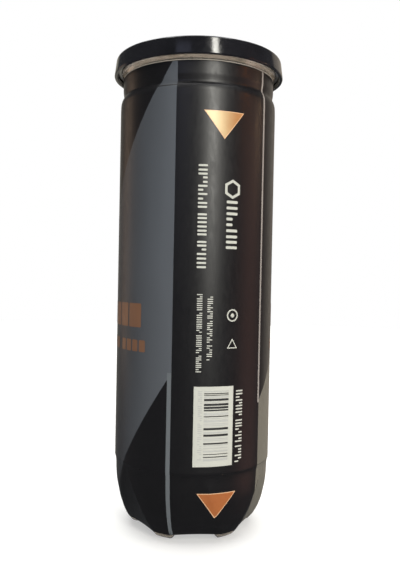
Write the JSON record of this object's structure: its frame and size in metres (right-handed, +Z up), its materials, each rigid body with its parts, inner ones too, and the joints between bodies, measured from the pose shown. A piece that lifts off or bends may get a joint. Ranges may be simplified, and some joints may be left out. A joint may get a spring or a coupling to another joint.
{
  "type": "tennis ball can",
  "caption": "Clear cylindrical ball can with petal feet, a printed film sleeve, a ring-pull metal end and a black snap cap, with felt balls stacked inside.",
  "frame": {"origin": "middle of the base, on the plane the feet stand on", "axes": "+Z up along the can, -Y toward the front of the print, +X to its right"},
  "size_m": [0.0806, 0.0806, 0.2204],
  "materials": {
    "clear_pet": "clear, glossy",
    "printed_film": "printed shrink film, satin black and blue-grey",
    "end_metal": "lacquered, bright",
    "tab_metal": "bright, rolled edges",
    "gasket": "matt sealing compound",
    "black_cap": "moulded, glossy",
    "ball_rubber": "matt",
    "ball_felt": "needled wool and nylon felt",
    "glue": "matt vulcanised glue line"
  },
  "bodies": {
    "can": {"pet_body": "clear_pet", "printed_sleeve": "printed_film", "end_ring": "end_metal", "seam_gasket": "gasket"},
    "tear_end": {"tear_panel": "end_metal", "tab_tongue": "tab_metal"},
    "tab": {"tab_ring": "tab_metal"},
    "cap": {"snap_cap": "black_cap"},
    "ball_bottom": {"ball_bottom_core_lower": "ball_rubber", "ball_bottom_core_upper": "ball_rubber", "ball_bottom_felt_a": "ball_felt", "ball_bottom_felt_b": "ball_felt", "ball_bottom_glue_line": "glue"},
    "ball_middle": {"ball_middle_core_lower": "ball_rubber", "ball_middle_core_upper": "ball_rubber", "ball_middle_felt_a": "ball_felt", "ball_middle_felt_b": "ball_felt", "ball_middle_glue_line": "glue"},
    "ball_top": {"ball_top_core_lower": "ball_rubber", "ball_top_core_upper": "ball_rubber", "ball_top_felt_a": "ball_felt", "ball_top_felt_b": "ball_felt", "ball_top_glue_line": "glue"}
  },
  "joints": [
    {"name": "cap_lift", "type": "slide", "parent": "can", "child": "cap", "axis": [0, 0, 1], "range_m": [0, 0.3]},
    {"name": "panel_lift", "type": "slide", "parent": "can", "child": "tear_end", "axis": [0, 0, 1], "range_m": [0, 0.264]},
    {"name": "tab_hinge", "type": "hinge", "parent": "tear_end", "child": "tab", "pos_m": [0, -0.0317, 0.21255], "axis": [1, 0, 0], "range_deg": [0, 90]},
    {"name": "ball_top_lift", "type": "slide", "parent": "can", "child": "ball_top", "axis": [0, 0, 1], "range_m": [0, 0.252]},
    {"name": "ball_middle_lift", "type": "slide", "parent": "can", "child": "ball_middle", "axis": [0, 0, 1], "range_m": [0, 0.237]},
    {"name": "ball_bottom_lift", "type": "slide", "parent": "can", "child": "ball_bottom", "axis": [0, 0, 1], "range_m": [0, 0.222]}
  ],
  "couplings": [
    {"joint": "panel_lift", "follows": "cap_lift", "ratio": 0.88},
    {"joint": "tab_hinge", "follows": "cap_lift", "rad_per_m": 5.2},
    {"joint": "ball_top_lift", "follows": "cap_lift", "ratio": 0.84},
    {"joint": "ball_middle_lift", "follows": "cap_lift", "ratio": 0.79},
    {"joint": "ball_bottom_lift", "follows": "cap_lift", "ratio": 0.74}
  ]
}
